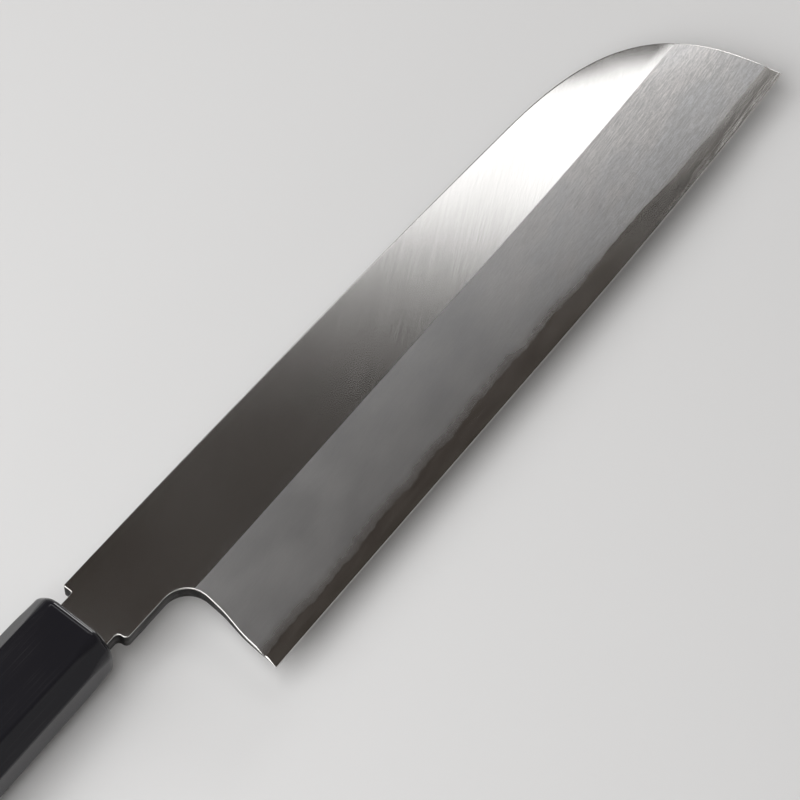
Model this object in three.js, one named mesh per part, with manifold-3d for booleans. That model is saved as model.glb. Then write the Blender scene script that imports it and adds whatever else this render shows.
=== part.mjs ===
// A single-bevel vegetable knife with a rounded nose, lying on its side.
// The blade is two metals welded together: a soft iron body and a hard steel back and edge.
// Its tang sits in a wooden dowel that also joins a horn ferrule to a black wooden handle.
//
// Millimetres. +X runs along the handle axis to the tip, +Y to the spine, +Z out of the bevelled face.
// While it is built, X is 0 at the shoulder of the blade and Z is 0 on the flat back of the blade.
import * as THREE from "three";
import { mergeVertices } from "three/addons/utils/BufferGeometryUtils.js";
import Module from "manifold-3d";

// Blade outline
const BLADE_LENGTH = 195; // shoulder to tip
const HEEL_SETBACK = 15.7; // shoulder to heel corner
const HEEL_DEPTH = 35.75; // handle axis to heel corner
const SPINE_HEIGHT = 9.05; // handle axis to spine at the shoulder
const SPINE_FALL = 2.72; // drop of the spine before the nose
const SPINE_END_ANGLE = 2.2; // slope of the spine where the nose starts, degrees
const SPINE_EASE_SHOULDER = 39.6; // reach of the level stretch at the shoulder
const SPINE_EASE_NOSE = 48.5; // reach of the sloping stretch at the nose
const NOSE_LENGTH = 50.3; // start of the nose to tip
const NOSE_EASE_SPINE = 27.6; // fullness of the nose at the spine
const NOSE_EASE_TIP = 30.6; // fullness of the nose at the tip
const TIP_LEAN = 12.4; // lean of the nose at the tip, degrees
const EDGE_ANGLE = 0.85; // rise of the straight edge, degrees
const BELLY_LENGTH = 95; // curved stretch of the edge before the tip
const TIP_LIFT = 1.9; // lift of the tip over the straight edge
const BELLY_POWER = 2.6; // how late the belly curves
const HEEL_LEAN = 4; // lean of the heel wall, degrees
const CHOIL_RADIUS = 6.2; // round between heel wall and root
const ROOT_DEPTH = 9; // handle axis to the lower side of the root

// Neck and tang
const NECK_WIDTH = 13.2;
const NECK_GAP = 4.9; // shoulder to ferrule
const LOWER_SHOULDER_SETBACK = 1; // how far the lower shoulder stands behind the upper one
const SHOULDER_ROUND = 0.8; // rounds of the lower shoulder
const TANG_LENGTH = 98; // shoulder to the end of the tang
const TANG_ROOT_WIDTH = 10.4;
const TANG_END_WIDTH = 5.6;
const TANG_END_THICKNESS = 2.8;
const TANG_END_CHAMFER = 1.4;
const TANG_SHOULDER_RUN = 2.6; // narrowing from neck to tang, inside the mouth
const TANG_ROOT_ROOM = 1.9; // narrowed tang in front of the dowel

// Blade section
const NECK_THICKNESS = 4.4;
const TIP_THICKNESS = 2.4;
const BEVEL_WIDTH = 23.2; // edge to ridge
const EDGE_LAND = 0.2; // thickness left at the edge
const HOLLOW_RADIUS = 450; // hollow of the back
const HOLLOW_EDGE_RIM = 1.3; // flat left along the edge
const HOLLOW_SPINE_RIM = 2.2; // flat left along the spine
const HOLLOW_START = 3; // shoulder to the start of the hollow
const HOLLOW_RUNOUT = 24; // stretch over which the hollow reaches full width
const HOLLOW_LEAST_HALF = 1; // half width of the hollow where it runs out

// Weld between the two metals
const STEEL_BAND = 4.3; // width of steel shown on the bevel
const STEEL_SPINE = 1.35; // thickness of steel at the spine
const STEEL_START = 4; // shoulder to the end of the steel
const WELD_WAVE = 0.45; // wander of the weld line on the bevel
const WELD_LONG_WAVE = 37;
const WELD_SHORT_WAVE = 14.5;
const WELD_CLEARANCE = 0.02;

// Ferrule and handle, octagonal
const HANDLE_RISE = 0.7; // handle centre above the tang axis
const FERRULE_LENGTH = 38;
const FERRULE_HEIGHT = 20.4;
const FERRULE_THICKNESS = 17;
const FERRULE_WIDE_FACET = 13.4;
const FERRULE_SIDE_FACET = 8;
const FERRULE_RIM_RADIUS = 1.9;
const BODY_LENGTH = 94;
const BUTT_HEIGHT = 24;
const BUTT_THICKNESS = 19.4;
const BUTT_WIDE_FACET = 13.6;
const BUTT_SIDE_FACET = 9.2;
const BUTT_RIM_RADIUS = 1.6;
const ARRIS_WIDTH = 0.7; // softened corner between two facets
const GLUE_CLEARANCE = 0.05; // between glued faces

// Inside the handle
const MOUTH_DEPTH = 9; // slot in the front of the ferrule
const MOUTH_ROUND = 1.2;
const RESIN_WALL = 0.7; // resin between neck and mouth
const RESIN_DEPTH = 3;
const RESIN_RECESS = 0.3; // resin below the front of the ferrule
const DOWEL_WALL = 0.8; // wood outside the corners of the tang slot
const DOWEL_TAIL = 6; // solid dowel behind the tang
const DOWEL_CHAMFER = 0.8;
const BORE_RELIEF = 1; // room behind the dowel
const TANG_CLEARANCE = 0.15; // tang in its slot
const DOWEL_CLEARANCE = 0.1; // dowel in its bore

// Fineness of the curved surfaces
const BLADE_STEP = 5;
const WELD_STEP = 2.9;
const HOLLOW_STRIPS = 10;
const CURVE_SEGMENTS = 10;
const SPINE_SEGMENTS = 30; // for each of the two curves of spine and nose
const DOWEL_SEGMENTS = 30;
const RIM_RINGS = 4;
const SAME_POINT = 1e-5; // points closer than this are one
const LARGEST_ROUND = 0.9; // most of a half width that a corner round may take
const LARGEST_ARRIS = 0.4; // most of a facet that a softened corner may take

// Places that follow from the sizes above
const CUT_MARGIN = 2;
const heelX = HEEL_SETBACK;
const ferruleFront = -NECK_GAP;
const ferruleBack = ferruleFront - FERRULE_LENGTH;
const bodyFront = ferruleBack - GLUE_CLEARANCE;
const buttX = bodyFront - BODY_LENGTH;
const mouthEnd = ferruleFront - MOUTH_DEPTH;
const tangRoot = mouthEnd + TANG_ROOT_ROOM;
const tangNeckEnd = tangRoot + TANG_SHOULDER_RUN;
const tangEnd = -TANG_LENGTH;
const dowelFront = mouthEnd - GLUE_CLEARANCE;
const dowelBack = tangEnd - DOWEL_TAIL;
const boreEnd = dowelBack - BORE_RELIEF;
const axisZ = NECK_THICKNESS / 2;
const slotHalfDiagonal = Math.hypot(TANG_ROOT_WIDTH / 2 + TANG_CLEARANCE, axisZ + TANG_CLEARANCE);
const dowelRadius = slotHalfDiagonal + DOWEL_WALL;
const boreRadius = dowelRadius + DOWEL_CLEARANCE;

const wasm = await Module();
wasm.setup();

const radians = THREE.MathUtils.degToRad;
const { lerp, clamp } = THREE.MathUtils;

// A closed geometry as a solid that can be joined and cut.
function toSolid(geometry) {
  const bare = geometry.clone();
  bare.deleteAttribute("normal");
  bare.deleteAttribute("uv");
  const merged = mergeVertices(bare, SAME_POINT);
  return new wasm.Manifold(new wasm.Mesh({
    numProp: 3,
    vertProperties: new Float32Array(merged.attributes.position.array),
    triVerts: new Uint32Array(merged.index.array),
  }));
}

// A solid as a geometry for a mesh.
function toGeometry(solid) {
  const { vertProperties, triVerts } = solid.getMesh();
  const geometry = new THREE.BufferGeometry();
  geometry.setAttribute("position", new THREE.BufferAttribute(vertProperties, 3));
  geometry.setIndex(new THREE.BufferAttribute(triVerts, 1));
  geometry.computeVertexNormals();
  return geometry;
}

// A skin over sections of equal point count, each a list of [y, z] at its own x, closed at both ends.
// Sections run counter-clockwise as seen from the tip and are given from the tip backwards.
function loft(sections) {
  const count = sections[0].points.length;
  const positions = sections.flatMap(({ x, points }) => points.flatMap(([y, z]) => [x, y, z]));
  const indices = [];
  for (let s = 0; s + 1 < sections.length; s += 1) {
    for (let p = 0; p < count; p += 1) {
      const a = s * count + p;
      const b = s * count + ((p + 1) % count);
      indices.push(a, a + count, b, b, a + count, b + count);
    }
  }
  const addCap = (section, offset, reversed) => {
    const contour = section.points.map(([y, z]) => new THREE.Vector2(y, z));
    for (const [a, b, c] of THREE.ShapeUtils.triangulateShape(contour, [])) {
      indices.push(...(reversed ? [c, b, a] : [a, b, c]).map((i) => i + offset));
    }
  };
  addCap(sections[0], 0, false);
  addCap(sections.at(-1), (sections.length - 1) * count, true);
  const geometry = new THREE.BufferGeometry();
  geometry.setAttribute("position", new THREE.Float32BufferAttribute(positions, 3));
  geometry.setIndex(indices);
  return toSolid(geometry);
}

// A shape drawn in the Y-Z plane and drawn out along X from xLow to xHigh.
function alongX(shape, xLow, xHigh) {
  const geometry = new THREE.ExtrudeGeometry(shape, {
    depth: xHigh - xLow,
    bevelEnabled: false,
    curveSegments: CURVE_SEGMENTS,
  });
  const yToX = new THREE.Matrix4().makeBasis(
    new THREE.Vector3(0, 1, 0),
    new THREE.Vector3(0, 0, 1),
    new THREE.Vector3(1, 0, 0),
  );
  geometry.applyMatrix4(yToX);
  geometry.translate(xLow, 0, 0);
  return toSolid(geometry);
}

// A rectangle in the Y-Z plane, centred on the tang axis, with rounded corners.
function roundedSlot(width, thickness, round) {
  const slot = new THREE.Shape();
  const y = width / 2;
  const z = thickness / 2;
  const r = Math.min(round, z * LARGEST_ROUND);
  slot.moveTo(-y + r, axisZ - z);
  slot.lineTo(y - r, axisZ - z);
  slot.absarc(y - r, axisZ - z + r, r, -Math.PI / 2, 0);
  slot.lineTo(y, axisZ + z - r);
  slot.absarc(y - r, axisZ + z - r, r, 0, Math.PI / 2);
  slot.lineTo(-y + r, axisZ + z);
  slot.absarc(-y + r, axisZ + z - r, r, Math.PI / 2, Math.PI);
  slot.lineTo(-y, axisZ - z + r);
  slot.absarc(-y + r, axisZ - z + r, r, Math.PI, Math.PI * 1.5);
  return slot;
}

// The cutting edge: straight from the heel, then a belly that lifts the tip.
function edgeY(x) {
  const bellyStart = BLADE_LENGTH - BELLY_LENGTH;
  const belly = Math.max((x - bellyStart) / BELLY_LENGTH, 0);
  return -HEEL_DEPTH + Math.tan(radians(EDGE_ANGLE)) * (x - heelX) + TIP_LIFT * belly ** BELLY_POWER;
}

// The spine and the nose, from the shoulder to the tip.
function spineCurve() {
  const noseX = BLADE_LENGTH - NOSE_LENGTH;
  const noseY = SPINE_HEIGHT - SPINE_FALL;
  const slope = radians(SPINE_END_ANGLE);
  const lean = radians(TIP_LEAN);
  const tipY = edgeY(BLADE_LENGTH);
  const path = new THREE.Path();
  path.moveTo(0, SPINE_HEIGHT);
  path.bezierCurveTo(
    SPINE_EASE_SHOULDER, SPINE_HEIGHT,
    noseX - SPINE_EASE_NOSE * Math.cos(slope), noseY + SPINE_EASE_NOSE * Math.sin(slope),
    noseX, noseY,
  );
  path.bezierCurveTo(
    noseX + NOSE_EASE_SPINE * Math.cos(slope), noseY - NOSE_EASE_SPINE * Math.sin(slope),
    BLADE_LENGTH - NOSE_EASE_TIP * Math.sin(lean), tipY + NOSE_EASE_TIP * Math.cos(lean),
    BLADE_LENGTH, tipY,
  );
  return path;
}

const spinePoints = spineCurve().getPoints(SPINE_SEGMENTS);

// Height of the spine or nose above the handle axis at x.
function spineY(x) {
  const after = spinePoints.findIndex((point) => point.x >= x);
  if (after < 0) return spinePoints.at(-1).y;
  if (after === 0) return spinePoints[0].y;
  const a = spinePoints[after - 1];
  const b = spinePoints[after];
  return lerp(a.y, b.y, (x - a.x) / (b.x - a.x));
}

// The side view of blade, neck and tang.
function bladeOutline() {
  const neck = NECK_WIDTH / 2;
  const root = TANG_ROOT_WIDTH / 2;
  const end = TANG_END_WIDTH / 2;
  const lower = -LOWER_SHOULDER_SETBACK;
  const lean = radians(HEEL_LEAN);
  const choilY = -ROOT_DEPTH - CHOIL_RADIUS;
  const choilX = heelX + Math.tan(lean) * (choilY + HEEL_DEPTH) - CHOIL_RADIUS / Math.cos(lean);
  const step = Math.min(SHOULDER_ROUND, (ROOT_DEPTH - neck) / 2 * LARGEST_ROUND);
  const outline = new THREE.Shape();
  outline.moveTo(tangEnd, -end + TANG_END_CHAMFER);
  outline.lineTo(tangEnd + TANG_END_CHAMFER, -end);
  outline.lineTo(tangRoot, -root);
  outline.lineTo(tangNeckEnd, -neck);
  outline.absarc(lower - step, -neck - step, step, Math.PI / 2, 0, true);
  outline.absarc(lower + step, -ROOT_DEPTH + step, step, Math.PI, Math.PI * 1.5);
  outline.absarc(choilX, choilY, CHOIL_RADIUS, Math.PI / 2, -lean, true);
  outline.lineTo(heelX, -HEEL_DEPTH);
  const edgeSteps = Math.round(BELLY_LENGTH / BLADE_STEP);
  for (let i = 0; i <= edgeSteps; i += 1) {
    const x = BLADE_LENGTH - BELLY_LENGTH * (1 - i / edgeSteps);
    outline.lineTo(x, edgeY(x));
  }
  for (const point of spinePoints.slice(0, -1).reverse()) {
    outline.lineTo(point.x, point.y);
  }
  outline.lineTo(0, neck);
  outline.lineTo(tangNeckEnd, neck);
  outline.lineTo(tangRoot, root);
  outline.lineTo(tangEnd + TANG_END_CHAMFER, end);
  outline.lineTo(tangEnd, end - TANG_END_CHAMFER);
  return outline;
}

// Half of the thickness lost from each side of the tang at x.
function tangTaper(x) {
  const share = Math.max((tangRoot - x) / (tangRoot - tangEnd), 0);
  return share * (NECK_THICKNESS - TANG_END_THICKNESS) / 2;
}

// Height of the flat upper face of the blade at x.
function faceZ(x) {
  return lerp(NECK_THICKNESS, TIP_THICKNESS, Math.max(x, 0) / BLADE_LENGTH) - tangTaper(x);
}

// Height of the bevel at a distance from the edge.
function bevelZ(x, fromEdge) {
  return lerp(EDGE_LAND, faceZ(x), fromEdge / BEVEL_WIDTH);
}

// The hollow of the back at x: its middle and half its width, which shrinks at the shoulder and the nose.
function hollowAt(x) {
  const low = edgeY(x) + HOLLOW_EDGE_RIM;
  const high = spineY(x) - HOLLOW_SPINE_RIM;
  const runout = Math.sqrt(clamp((x - HOLLOW_START) / HOLLOW_RUNOUT, 0, 1));
  return { middle: (low + high) / 2, half: Math.max((high - low) / 2 * runout, HOLLOW_LEAST_HALF) };
}

// One section across the blade: flat face, bevel, edge and hollow back.
function bladeSection(x) {
  const edge = edgeY(x);
  const above = SPINE_HEIGHT + CUT_MARGIN;
  const below = edge - CUT_MARGIN;
  const backZ = tangTaper(x);
  const face = faceZ(x);
  const { middle, half } = hollowAt(x);
  const back = [];
  for (let i = 0; i <= HOLLOW_STRIPS; i += 1) {
    const across = -half + 2 * half * i / HOLLOW_STRIPS;
    back.push([middle + across, backZ + (half * half - across * across) / (2 * HOLLOW_RADIUS)]);
  }
  return {
    x,
    points: [
      [below, backZ],
      ...back,
      [above, backZ],
      [above, face],
      [edge + BEVEL_WIDTH, face],
      [edge, EDGE_LAND + backZ],
      [below, EDGE_LAND + backZ],
    ],
  };
}

// Stations from xHigh down to xLow, no further apart than step.
function stations(xHigh, xLow, step) {
  const count = Math.ceil((xHigh - xLow) / step);
  return Array.from({ length: count + 1 }, (_, i) => lerp(xHigh, xLow, i / count));
}

// The whole blade with its tang, before it is parted along the weld.
function wholeBlade() {
  const sections = [
    ...stations(BLADE_LENGTH + CUT_MARGIN, 0, BLADE_STEP),
    tangRoot,
    tangEnd - CUT_MARGIN,
  ].map(bladeSection);
  const height = NECK_THICKNESS + 2 * CUT_MARGIN;
  const prism = new THREE.ExtrudeGeometry(bladeOutline(), {
    depth: height,
    bevelEnabled: false,
    curveSegments: CURVE_SEGMENTS,
  });
  prism.translate(0, 0, -CUT_MARGIN);
  return loft(sections).intersect(toSolid(prism));
}

// Everything under the weld. The weld line wanders along the bevel and the weld rises a little to the spine.
function underWeld(clearance) {
  const section = (x) => {
    const edge = edgeY(x);
    const longWave = Math.sin(2 * Math.PI * x / WELD_LONG_WAVE);
    const shortWave = Math.sin(2 * Math.PI * x / WELD_SHORT_WAVE);
    const low = bevelZ(x, STEEL_BAND + WELD_WAVE * (longWave + shortWave) / 2) + clearance;
    const thinning = faceZ(x) / NECK_THICKNESS;
    const high = STEEL_SPINE * thinning + clearance;
    const above = SPINE_HEIGHT + 2 * CUT_MARGIN;
    const below = edge - 2 * CUT_MARGIN;
    const points = [
      [below, -CUT_MARGIN],
      [above, -CUT_MARGIN],
      [above, high],
      [edge + STEEL_BAND, low],
      [below, low],
    ];
    return { x, points };
  };
  const xHigh = BLADE_LENGTH + 2 * CUT_MARGIN;
  return loft(stations(xHigh, STEEL_START - clearance, WELD_STEP).map(section));
}

// An octagon around the handle axis, each corner softened, as a list of [y, z].
function octagon(height, thickness, wideFacet, sideFacet, inset) {
  const y = height / 2 - inset;
  const z = thickness / 2 - inset;
  const chamferInset = inset * Math.tan(Math.PI / 8);
  const wide = wideFacet / 2 - chamferInset;
  const side = sideFacet / 2 - chamferInset;
  const corners = [
    [y, -side], [y, side], [wide, z], [-wide, z],
    [-y, side], [-y, -side], [-wide, -z], [wide, -z],
  ].map(([cy, cz]) => new THREE.Vector2(cy + HANDLE_RISE, cz + axisZ));
  return corners.flatMap((corner, i) => {
    const towards = (other) => {
      const step = Math.min(ARRIS_WIDTH / 2 / corner.distanceTo(other), LARGEST_ARRIS);
      return corner.clone().lerp(other, step).toArray();
    };
    return [towards(corners.at(i - 1)), towards(corners[(i + 1) % corners.length])];
  });
}

// The handle's section at x, which grows from the front of the ferrule to the rim of the butt.
function handleSection(x, inset) {
  const share = clamp((ferruleFront - x) / (ferruleFront - buttX - BUTT_RIM_RADIUS), 0, 1);
  return {
    x,
    points: octagon(
      lerp(FERRULE_HEIGHT, BUTT_HEIGHT, share),
      lerp(FERRULE_THICKNESS, BUTT_THICKNESS, share),
      lerp(FERRULE_WIDE_FACET, BUTT_WIDE_FACET, share),
      lerp(FERRULE_SIDE_FACET, BUTT_SIDE_FACET, share),
      inset,
    ),
  };
}

// Sections of a rounded rim that starts at an end face and turns into the sides.
function rimSections(endX, radius, direction) {
  return Array.from({ length: RIM_RINGS + 1 }, (_, i) => {
    const turn = Math.PI / 2 * i / RIM_RINGS;
    const inset = radius * (1 - Math.sin(turn));
    const depth = radius * (1 - Math.cos(turn));
    return handleSection(endX + direction * depth, inset);
  });
}

function boreShape(radius) {
  const circle = new THREE.Shape();
  circle.absarc(0, axisZ, radius, 0, Math.PI * 2);
  return circle;
}

// Horn ferrule: rounded front rim, a slot for the neck and a bore for the dowel.
function ferrule() {
  const outer = loft([
    ...rimSections(ferruleFront, FERRULE_RIM_RADIUS, -1),
    handleSection(ferruleBack, 0),
  ]);
  const mouthWidth = NECK_WIDTH + 2 * RESIN_WALL;
  const mouthThickness = NECK_THICKNESS + 2 * RESIN_WALL;
  const mouth = roundedSlot(mouthWidth, mouthThickness, MOUTH_ROUND);
  return outer
    .subtract(alongX(mouth, mouthEnd - CUT_MARGIN, ferruleFront + CUT_MARGIN))
    .subtract(alongX(boreShape(boreRadius), ferruleBack - CUT_MARGIN, mouthEnd));
}

// Wooden handle body: an octagon that widens to a rounded butt, with a blind bore for the dowel.
function handleBody() {
  const outer = loft([
    handleSection(bodyFront, 0),
    ...rimSections(buttX, BUTT_RIM_RADIUS, 1).reverse(),
  ]);
  return outer.subtract(alongX(boreShape(boreRadius), boreEnd, bodyFront + CUT_MARGIN));
}

// The tang with room around it, for the slot in the dowel.
function tangSlot() {
  const section = (x, width, thickness) => {
    const y = width / 2 + TANG_CLEARANCE;
    const z = thickness / 2 + TANG_CLEARANCE;
    return { x, points: [[-y, axisZ - z], [y, axisZ - z], [y, axisZ + z], [-y, axisZ + z]] };
  };
  return loft([
    section(tangRoot + CUT_MARGIN, TANG_ROOT_WIDTH, NECK_THICKNESS),
    section(tangRoot, TANG_ROOT_WIDTH, NECK_THICKNESS),
    section(tangEnd - TANG_CLEARANCE, TANG_END_WIDTH, TANG_END_THICKNESS),
  ]);
}

// Soft wooden dowel that joins ferrule and handle and holds the tang.
function tangDowel() {
  const profile = [
    new THREE.Vector2(0, dowelBack),
    new THREE.Vector2(dowelRadius - DOWEL_CHAMFER, dowelBack),
    new THREE.Vector2(dowelRadius, dowelBack + DOWEL_CHAMFER),
    new THREE.Vector2(dowelRadius, dowelFront),
    new THREE.Vector2(0, dowelFront),
  ];
  const turned = new THREE.LatheGeometry(profile, DOWEL_SEGMENTS);
  turned.rotateZ(-Math.PI / 2);
  turned.translate(0, 0, axisZ);
  return toSolid(turned).subtract(tangSlot());
}

// Resin that closes the mouth of the ferrule round the neck.
function mouthResin() {
  const outerGap = RESIN_WALL - GLUE_CLEARANCE;
  const ring = roundedSlot(
    NECK_WIDTH + 2 * outerGap,
    NECK_THICKNESS + 2 * outerGap,
    MOUTH_ROUND - GLUE_CLEARANCE,
  );
  const neckY = NECK_WIDTH / 2 + GLUE_CLEARANCE;
  const neckZ = NECK_THICKNESS / 2 + GLUE_CLEARANCE;
  const hole = new THREE.Path();
  hole.moveTo(-neckY, axisZ - neckZ);
  hole.lineTo(-neckY, axisZ + neckZ);
  hole.lineTo(neckY, axisZ + neckZ);
  hole.lineTo(neckY, axisZ - neckZ);
  ring.holes.push(hole);
  const front = ferruleFront - RESIN_RECESS;
  return alongX(ring, front - RESIN_DEPTH, front);
}

function piece(name, solid, color, roughness, metalness) {
  const material = new THREE.MeshStandardMaterial({ color, roughness, metalness, flatShading: true });
  const mesh = new THREE.Mesh(toGeometry(solid), material);
  mesh.name = name;
  return mesh;
}

const blade = wholeBlade();
const bladeGroup = new THREE.Group();
bladeGroup.add(
  piece("blade_iron", blade.subtract(underWeld(WELD_CLEARANCE)), 0x9a9994, 0.42, 1),
  piece("edge_steel", blade.intersect(underWeld(0)), 0x6f6a64, 0.28, 1),
);

const handleGroup = new THREE.Group();
handleGroup.add(
  piece("ferrule", ferrule(), 0x141416, 0.16, 0),
  piece("handle_body", handleBody(), 0x18171a, 0.3, 0),
  piece("tang_dowel", tangDowel(), 0xcbb58c, 0.8, 0),
  piece("mouth_resin", mouthResin(), 0x1d1a17, 0.4, 0),
);

// The knife lies with the middle of its box over the origin and its handle on Z = 0.
const knife = new THREE.Group();
const highestY = Math.max(SPINE_HEIGHT, HANDLE_RISE + Math.max(BUTT_HEIGHT, FERRULE_HEIGHT) / 2);
const lowestZ = axisZ - Math.max(BUTT_THICKNESS, FERRULE_THICKNESS) / 2;
knife.position.set(-(BLADE_LENGTH + buttX) / 2, -(highestY - HEEL_DEPTH) / 2, -lowestZ);
knife.add(bladeGroup, handleGroup);

export default knife;
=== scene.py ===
# %% [markdown]
# # A single-bevel vegetable knife
# The knife lies on its side with its bevelled face up. Its blade is two metals: a body of soft iron
# and a back and edge of hard steel. The handle is an octagon of black wood behind a ferrule of black
# horn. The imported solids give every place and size. Here each visible solid gets a finer surface,
# worked out with numpy, and a finish made of shader nodes.

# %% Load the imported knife
from math import cos, pi, radians, sin, tan

import bmesh
import bpy
import numpy as np
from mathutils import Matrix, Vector


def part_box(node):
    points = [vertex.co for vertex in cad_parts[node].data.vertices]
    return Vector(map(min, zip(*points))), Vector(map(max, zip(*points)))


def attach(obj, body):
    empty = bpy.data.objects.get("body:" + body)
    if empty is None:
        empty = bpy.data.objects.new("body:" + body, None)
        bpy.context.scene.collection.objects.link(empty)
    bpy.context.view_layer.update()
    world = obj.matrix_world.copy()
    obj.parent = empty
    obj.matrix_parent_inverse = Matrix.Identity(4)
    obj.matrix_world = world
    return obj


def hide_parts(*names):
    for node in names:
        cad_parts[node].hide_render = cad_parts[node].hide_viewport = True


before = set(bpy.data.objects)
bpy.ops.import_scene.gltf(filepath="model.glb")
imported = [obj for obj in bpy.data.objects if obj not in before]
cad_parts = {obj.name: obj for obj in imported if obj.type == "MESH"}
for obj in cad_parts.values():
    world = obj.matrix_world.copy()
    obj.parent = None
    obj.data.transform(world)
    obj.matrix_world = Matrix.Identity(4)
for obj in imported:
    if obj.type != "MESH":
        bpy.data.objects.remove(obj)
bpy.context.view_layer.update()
print("nodes:", sorted(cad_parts))

# %% [markdown]
# ## One set of measures
# A smith measures a blade from its shoulder, the step in front of the handle. So the surfaces below
# are worked out in millimetres with X = 0 at the shoulder, Y = 0 on the handle's axis and Z = 0 on
# the flat back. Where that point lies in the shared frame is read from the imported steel, whose tip,
# heel and back are at known places. Fitting by eye would drift; reading the box can't.

# %% From the shoulder's measures to the shared frame
MM = 0.001
BLADE_LENGTH = 195.0
HEEL_X, HEEL_Y = 15.7, -35.75
steel_low, steel_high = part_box("edge_steel")
SHOULDER = np.array(
    [steel_high.x / MM - BLADE_LENGTH, steel_low.y / MM - HEEL_Y, steel_low.z / MM]
)


def placed(points):
    """Millimetres from the shoulder, moved by the shoulder's place, as metres."""
    return (np.asarray(points, float) + SHOULDER) * MM


print("shoulder at, mm:", SHOULDER.round(3))

# %% [markdown]
# ## From arrays to a mesh
# A surface here is a grid of points: rows by columns by three numbers. Blender wants one list of
# points and one of faces. One way is to loop over the grid; numpy does it at once by numbering the
# points and slicing the numbers. Grids that meet share the points of their common line, so those
# doubles are merged, which closes the seams, and the faces are then turned outwards. On a sheet as
# thin as a blade Blender can take the inside for the outside, which shows as a volume below zero, and
# then all faces are turned over. Shading is smooth up to 40 degrees. Along the weld line a seen face
# meets a hidden one at a flatter angle than that, so an edge between a finished face and a bare wall
# is made sharp as well.

# %% Skin: grids to one closed mesh
SHARP = radians(40)
MERGE = 5e-7
FACE, BEVEL, RIM, WALL = 0, 1, 2, 3
BAND, HOLLOW = 0, 1


def grid_faces(rows, cols):
    """Four corners for each cell of a grid whose points are numbered row by row."""
    n = np.arange(rows * cols).reshape(rows, cols)
    return np.stack([n[:-1, :-1], n[:-1, 1:], n[1:, 1:], n[1:, :-1]], -1).reshape(-1, 4)


def read(things, name, kind, width=1):
    """One property of all points, corners, edges or faces of a mesh, as an array."""
    values = np.empty(len(things) * width, kind)
    things.foreach_get(name, values)
    return values.reshape(-1, width) if width > 1 else values


def sharpen(mesh):
    """Sharp edges: those over the angle, and those where the numbers of two finishes part at a wall."""
    mesh.set_sharp_from_angle(angle=SHARP)
    edge = read(mesh.loops, "edge_index", np.int32)
    sides = read(mesh.polygons, "loop_total", np.int32)
    kind = np.repeat(read(mesh.polygons, "material_index", np.int32), sides)
    sharp = read(mesh.edges, "use_edge_sharp", bool)
    least, most = np.full(len(sharp), WALL), np.zeros(len(sharp), np.int32)
    np.minimum.at(least, edge, kind)
    np.maximum.at(most, edge, kind)
    mesh.edges.foreach_set("use_edge_sharp", sharp | ((most == WALL) & (least < RIM)))


def added(name, data):
    """A new object in the scene."""
    thing = bpy.data.objects.new(name, data)
    bpy.context.scene.collection.objects.link(thing)
    return thing


def skin(name, sheets, finishes):
    """One closed mesh from sheets of (grid of points in mm, number of its finish)."""
    sizes = [grid.shape[0] * grid.shape[1] for grid, _ in sheets]
    starts = np.concatenate([[0], np.cumsum(sizes)[:-1]])
    points = np.concatenate([grid.reshape(-1, 3) for grid, _ in sheets])
    faces = [grid_faces(*grid.shape[:2]) + start for (grid, _), start in zip(sheets, starts)]
    kinds = np.concatenate([np.full(len(f), kind) for f, (_, kind) in zip(faces, sheets)])
    mesh = bpy.data.meshes.new(name)
    mesh.from_pydata(placed(points), [], np.concatenate(faces))
    mesh.polygons.foreach_set("material_index", kinds.astype(np.int32))
    joined = bmesh.new()
    joined.from_mesh(mesh)
    bmesh.ops.remove_doubles(joined, verts=joined.verts, dist=MERGE)
    bmesh.ops.recalc_face_normals(joined, faces=joined.faces)
    if joined.calc_volume(signed=True) < 0:
        bmesh.ops.reverse_faces(joined, faces=joined.faces)
    open_edges = sum(not edge.is_manifold for edge in joined.edges)
    joined.to_mesh(mesh)
    joined.free()
    mesh.polygons.foreach_set("use_smooth", np.ones(len(mesh.polygons), bool))
    sharpen(mesh)
    for material in finishes:
        mesh.materials.append(material)
    piece = added(name, mesh)
    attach(piece, "root")
    print(f"{name}: {len(mesh.vertices)} points, {len(mesh.polygons)} faces, {open_edges} open edges")
    return piece


# %% [markdown]
# ## The lines of the blade
# Seen from above, the blade is four lines: an almost straight edge with a little belly before the
# tip, a spine that falls slowly and rolls over into a round nose, a heel wall with a round choil for
# the finger, and a ridge that runs level with the edge. Edge and ridge are plain formulas of x. The
# spine and nose are two Bezier curves, because a smith draws them by eye as one easy sweep.

# %% Edge, ridge, spine and nose
BEVEL_WIDTH = 23.2
SPINE_Y = 9.05
SPINE_FALL, TIP_LEAN = radians(2.2), radians(12.4)
SPINE_PULL, NOSE_PULL = (39.6, 48.5), (27.6, 30.6)
NOSE_X, NOSE_Y = 144.7, 6.33
EDGE_RISE = radians(0.85)
BELLY_START, BELLY_RISE, BELLY_POWER = 100.0, 1.9, 2.6


def edge_y(x):
    """A straight line at a small angle, plus a belly that grows as a power of the distance."""
    belly = np.clip((x - BELLY_START) / (BLADE_LENGTH - BELLY_START), 0, None)
    straight = HEEL_Y + tan(EDGE_RISE) * np.clip(x - HEEL_X, 0, None)
    return straight + BELLY_RISE * belly**BELLY_POWER


def bezier(ends, t):
    """A cubic Bezier curve: the four points weighted by (1-t)^3, 3(1-t)^2 t, 3(1-t) t^2 and t^3."""
    a, b, c, d = np.array(ends)
    t = np.asarray(t)[:, None]
    s = 1 - t
    return s**3 * a + 3 * s**2 * t * b + 3 * s * t**2 * c + t**3 * d


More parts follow.
